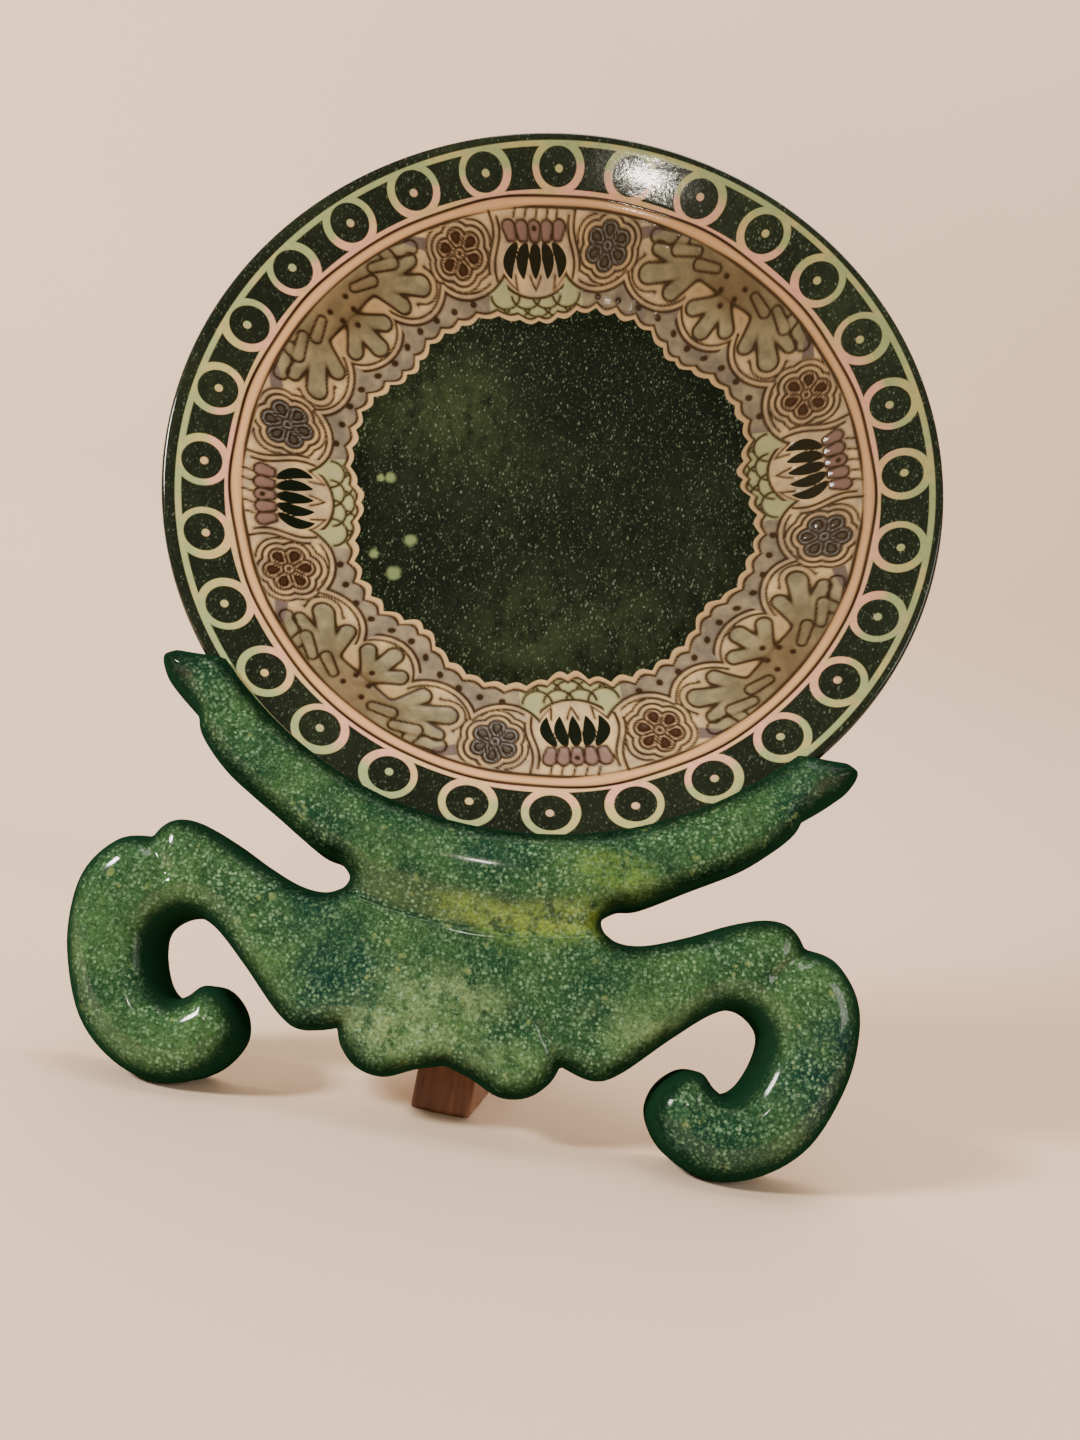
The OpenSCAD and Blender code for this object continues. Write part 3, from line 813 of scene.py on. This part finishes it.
def washed(s, color, place, small, ruffled):
    """Teal washes, yellow streaks and pale patches, with painted shade on the crescent's lower half and
    in the crease.
    """
    for x, y, size, amount in TEAL_WASHES:
        away = s.node("ShaderNodeVectorMath", {0: place, 1: (x, y, 8)}, operation="DISTANCE")
        wash = s.ramp(away.outputs["Value"], size, size * 0.2, 0.0, amount)
        color = s.mix(s.math("MULTIPLY", wash, s.ramp(small, 0.3, 0.6, 0.4, 1.0)), color, rgb("08302E"))
    # Painted shade: a dark olive band along the crescent's lower half, above the crease.
    lower = s.math("ABSOLUTE", s.math("ADD", s.stored("past_crease"), 8.0))
    color = s.mix(s.ramp(lower, 2.0, 9.0, 0.35, 0.0), color, rgb("14240F"))
    # Painted shade: a dark line in the crease under the crescent.
    crease = s.math("ABSOLUTE", s.math("ADD", s.stored("past_crease"), 0.4))
    color = s.mix(s.ramp(crease, 0.4, 2.2, 0.5, 0.0), color, rgb("0A1C12"))
    for streaks, tint in ((YELLOW_STREAKS, "96B444"), (PALE_PATCHES, "94AC74")):
        for x, y, size, amount in streaks:
            flat = s.stretched(place, (0.42, 1.0, 0.6), place=(-0.42 * x, -y, 0))
            away = s.node("ShaderNodeVectorMath", {0: flat}, operation="LENGTH")
            streak = s.ramp(away.outputs["Value"], size, 0.0, 0.0, amount)
            streak = s.math("MULTIPLY", streak, s.ramp(s.noise(ruffled, 6, 5, 0.65), 0.35, 0.6))
            color = s.mix(streak, color, rgb(tint))
    return color


def flecked(s, color, place, ruffled, fine):
    """Pale crackled flecks of several sizes, thicker in some places than in others."""
    spread = s.ramp(s.noise(place, 22, 2), 0.3, 0.7, 0.35, 1.0)
    color = s.mix(s.math("MULTIPLY", s.math("MULTIPLY", fine, 0.75), spread), color, rgb("8CB288"))
    color = s.mix(s.math("MULTIPLY", s.crackle(ruffled, 0.9, 9.0), 0.45), color, rgb("628A64"))
    gaps = s.ramp(s.noise(ruffled, 1.2, 3, 0.7), 0.55, 0.4)
    color = s.mix(s.math("MULTIPLY", gaps, 0.5), color, rgb("081E14"))
    dots = s.math("MULTIPLY", s.specks(ruffled, 2.0, 0.4, -0.2, 0.3), spread)
    color = s.mix(s.math("MULTIPLY", dots, 0.3), color, rgb("96B08C"))
    pools = s.math("MULTIPLY", s.specks(s.ruffled(place, 3.0, 4.0), 5.0, 0.34, -0.35, 0.2), 0.55)
    return s.mix(s.math("MULTIPLY", pools, spread), color, rgb("8FA25E"))


def darkened(s, color, place, edge, depth, small):
    """Darker at the arms' tips and on the back; darker along the edges and on the sides, partly painted
    shade and partly the lacquer's own; and partly brown.
    """
    ragged_tip = s.math("ADD", s.stored("from_tip"), s.ramp(small, 0.2, 0.8, -4.0, 4.0))
    color = s.mix(s.ramp(ragged_tip, 5.0, 22.0, 0.8, 0.0), color, rgb("0E1E18"))
    # Painted shade where the rounding turns away, over the lacquer's own darker edges: near black along
    # the outline.
    ragged_edge = s.math("ADD", edge, s.ramp(small, 0.2, 0.8, -1.5, 1.5))
    color = s.mix(s.ramp(ragged_edge, 0.5, 8.0, 0.92, 0.0), color, rgb("04120A"))
    # Painted shade, with the lacquer's own darker sides: dark green on the sides between the face and
    # the back.
    side = s.math("MINIMUM", s.ramp(depth, 2.0, 6.0, 0.0, 0.82), s.ramp(depth, 24.0, 30.0, 1.0, 0.3))
    color = s.mix(side, color, rgb("123020"))
    brown = s.ramp(s.noise(place, 12, 4), 0.55, 0.75, 0.0, 0.15)
    color = s.mix(s.math("MULTIPLY", s.ramp(depth, 4.0, 8.0), brown), color, rgb("26190F"))
    back = s.ramp(depth, 26.0, 31.0, 0.0, 0.65)
    return s.mix(back, color, s.mix(small, rgb("1C3222"), rgb("2E4C32")))


def panel_lacquer():
    s = Shader("panel_lacquer")
    place, edge, depth = s.stored("place", "Vector"), s.stored("edge"), s.stored("depth")
    small = s.noise(place, 8, 5, 0.65)
    ruffled = s.ruffled(place, 1.6, 1.3)
    fine = s.crackle(ruffled, 1.5, 3.0)
    color = s.mix(s.ramp(s.noise(place, 34, 3, 0.55), 0.32, 0.68), rgb("183E28"), rgb("44683A"))
    color = s.mix(s.ramp(small, 0.3, 0.75, 0.0, 0.6), color, rgb("0C2C1C"))
    color = washed(s, color, place, small, ruffled)
    color = flecked(s, color, place, ruffled, fine)
    color = darkened(s, color, place, edge, depth, small)
    gloss = s.math("MINIMUM", s.ramp(depth, 2.5, 6.0, 0.6, 0.0), s.ramp(edge, 3.0, 9.5, 0.0, 0.6))
    height = s.math("ADD", s.math("MULTIPLY", fine, 0.4), s.noise(place, 5, 3))
    s.set(color=color, roughness=s.ramp(small, 0.25, 0.8, 0.42, 0.58), normal=s.relief(height, 0.1),
          specular=0.0, coat=gloss, coat_rough=0.1,
          coat_normal=s.relief(s.noise(place, 14, 1), 0.05))
    return s.material


# ---- the wooden brace ----

BRACE_PITCH = 1.3
BRACE_ROUND = 1.6
GRAIN_TURN = (0, 0, math.radians(24))


def build_brace():
    axes = brace_axes(LEAN)
    brace = axes.inward(mesh_points(frame["nodes"]["rear_brace"]))
    near, far = brace[:, 2].min(), brace[:, 2].max()
    outline = Outline("rear_brace", axes, (near + far) / 2)
    tilt, table = axes.rows[:, 2], axes.origin[2] / MM

    def solid(x, y, z):
        edge = outline(x, y)
        body = rounded_corner(z - far, edge, BRACE_ROUND)
        body = np.maximum(body, rounded_corner(near - z, edge, BRACE_ROUND))
        return np.maximum(body, -(tilt[0] * x + tilt[1] * y + tilt[2] * z + table))

    low, high = np.append(outline.low, near - 2), np.append(outline.high, far + 2)
    points, placed, faces = skin(solid, axes, low, high, BRACE_PITCH)
    obj = make_object("wooden_brace", placed, faces, brace_wood())
    store(obj, "place", points)
    store(obj, "edge", -outline(*points[:, :2].T))
    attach(obj, "brace")
    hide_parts("rear_brace")


def brace_wood():
    s = Shader("brace_wood")
    place = s.stored("place", "Vector")
    along = s.stretched(place, (1.0, 0.09, 1.0), GRAIN_TURN)
    figure = s.noise(along, 7, 5, 0.6, 0.6)
    wave = {"Vector": along, "Scale": 0.12, "Distortion": 5.0, "Detail": 3.0, "Detail Scale": 1.2}
    rings = s.node("ShaderNodeTexWave", wave, wave_type="BANDS", bands_direction="X").outputs["Fac"]
    color = s.mix(s.ramp(figure, 0.3, 0.7), rgb("6B4028"), rgb("9A6440"))
    color = s.mix(s.math("MULTIPLY", s.ramp(rings, 0.4, 0.95), 0.45), color, rgb("553019"))
    pores = s.noise(s.stretched(place, (1.0, 0.05, 1.0), GRAIN_TURN), 0.9, 2)
    dark_pores = s.ramp(pores, 0.62, 0.72)
    color = s.mix(s.math("MULTIPLY", dark_pores, 0.5), color, rgb("3C2010"))
    height = s.math("SUBTRACT", s.math("MULTIPLY", rings, 0.3), dark_pores)
    s.set(color=color, roughness=s.ramp(figure, 0.2, 0.8, 0.42, 0.58), normal=s.relief(height, 0.08),
          coat=0.15, coat_rough=0.3)
    return s.material


# ---- hinges and screws ----

def brass(name, bright, dull, rough):
    s = Shader(name)
    where = s.node("ShaderNodeTexCoord").outputs["Object"]
    tarnish = s.noise(where, 0.006, 5, 0.65)
    brushed = s.noise(s.stretched(where, (1.0, 1.0, 0.06)), 0.0004, 2)
    scratches = s.noise(s.stretched(where, (1.0, 0.1, 1.0), (0.3, 0.5, 0.9)), 0.0003, 2)
    color = s.mix(s.ramp(tarnish, 0.42, 0.7), rgb(bright), rgb(dull))
    s.set(color=color, metallic=1.0, roughness=s.ramp(tarnish, 0.3, 0.75, rough, rough + 0.25),
          normal=s.relief(scratches, 0.01, s.relief(brushed, 0.015)))
    return s.material


def finish_hardware():
    hinge = brass("hinge_brass", "C8A25C", "8A6A35", 0.26)
    screw = brass("screw_brass", "D4B26E", "94743C", 0.2)
    for name, node in frame["nodes"].items():
        if "leaf" in name or "pin" in name or "screws" in name:
            node.data.materials.clear()
            node.data.materials.append(screw if "screws" in name else hinge)


# ---- stage, lights and camera ----

# The camera's place in metres from the plate's centre, and the directions of its view and right
CAMERA_PLACE, CAMERA_LOOKS = (0.0218, -0.485, -0.108), (-0.021, 1.0, 0.006)
CAMERA_RIGHT = (0.986, 0.020, 0.168)
CAMERA_LENS = 29.75


def build_stage():
    """A pale floor that sweeps up behind the object."""
    width, near, far, rise, bend = 3.0, -2.2, 0.75, 2.2, 0.35
    profile = [(near, 0.0), (far - bend, 0.0)]
    steps = 12
    for k in range(1, steps + 1):
        turn = math.pi / 2 * k / steps
        profile.append((far - bend + bend * math.sin(turn), bend - bend * math.cos(turn)))
    profile.append((far, rise))
    points = [(side * width, y, z) for y, z in profile for side in (-1, 1)]
    faces = [(2 * i, 2 * i + 1, 2 * i + 3, 2 * i + 2) for i in range(len(profile) - 1)]
    s = Shader("pale_floor")
    where = s.node("ShaderNodeTexCoord").outputs["Object"]
    color = s.mix(s.noise(where, 0.25, 3), rgb("E6CCB2"), rgb("EAD2B8"))
    s.set(color=color, roughness=0.6, normal=s.relief(s.noise(where, 0.002, 3), 0.05))
    make_object("pale_sweep", points, faces, s.material)


def add_light(name, offset, size, power, color, height=None):
    """An area light placed from the plate's centre, which it faces."""
    data = bpy.data.lights.new(name, "AREA")
    data.shape, data.size, data.size_y = "RECTANGLE", size, height or size
    data.energy, data.color = power, color
    light = bpy.data.objects.new(name, data)
    bpy.context.scene.collection.objects.link(light)
    offset = Vector(offset)
    light.location = Vector(LEAN.origin) + offset
    light.rotation_euler = (-offset).to_track_quat("-Z", "Y").to_euler()


def build_lights():
    warm, soft = (1.0, 0.90, 0.78), (1.0, 0.94, 0.87)
    for name, x in (("lamp_left", -0.099), ("lamp_right", -0.080)):
        add_light(name, (x, -1.176, 0.415), size=0.011, power=0.4, color=warm, height=0.024)
    add_light("key_softbox", (-1.55, -1.15, 1.0), size=0.35, power=72, color=soft)
    add_light("side_softbox", (1.7, -0.9, 0.6), size=0.9, power=16, color=soft)
    add_light("overhead_softbox", (0.0, 0.25, 2.3), size=1.2, power=30, color=soft)
    add_light("rear_softbox", (0.5, 0.66, 1.3), size=0.6, power=10, color=soft)
    world = bpy.data.worlds.new("room")
    world.use_nodes = True
    background = world.node_tree.nodes["Background"]
    background.inputs["Color"].default_value = (1.0, 0.86, 0.72, 1.0)
    background.inputs["Strength"].default_value = 0.26
    bpy.context.scene.world = world


def build_camera():
    """Stands a little below the plate's centre, turned a few degrees on its side."""
    data = bpy.data.cameras.new("camera")
    data.lens = CAMERA_LENS
    camera = bpy.data.objects.new("camera", data)
    bpy.context.scene.collection.objects.link(camera)
    place = Vector(LEAN.origin) + Vector(CAMERA_PLACE)
    forward = Vector(CAMERA_LOOKS).normalized()
    right = Vector(CAMERA_RIGHT)
    right = (right - right.dot(forward) * forward).normalized()
    up = right.cross(forward)
    turn = Matrix((right, up, -forward)).transposed().to_4x4()
    camera.matrix_world = Matrix.Translation(place) @ turn
    bpy.context.scene.camera = camera


build_camera()
build_plate()
build_panel()
build_brace()
finish_hardware()
build_stage()
build_lights()
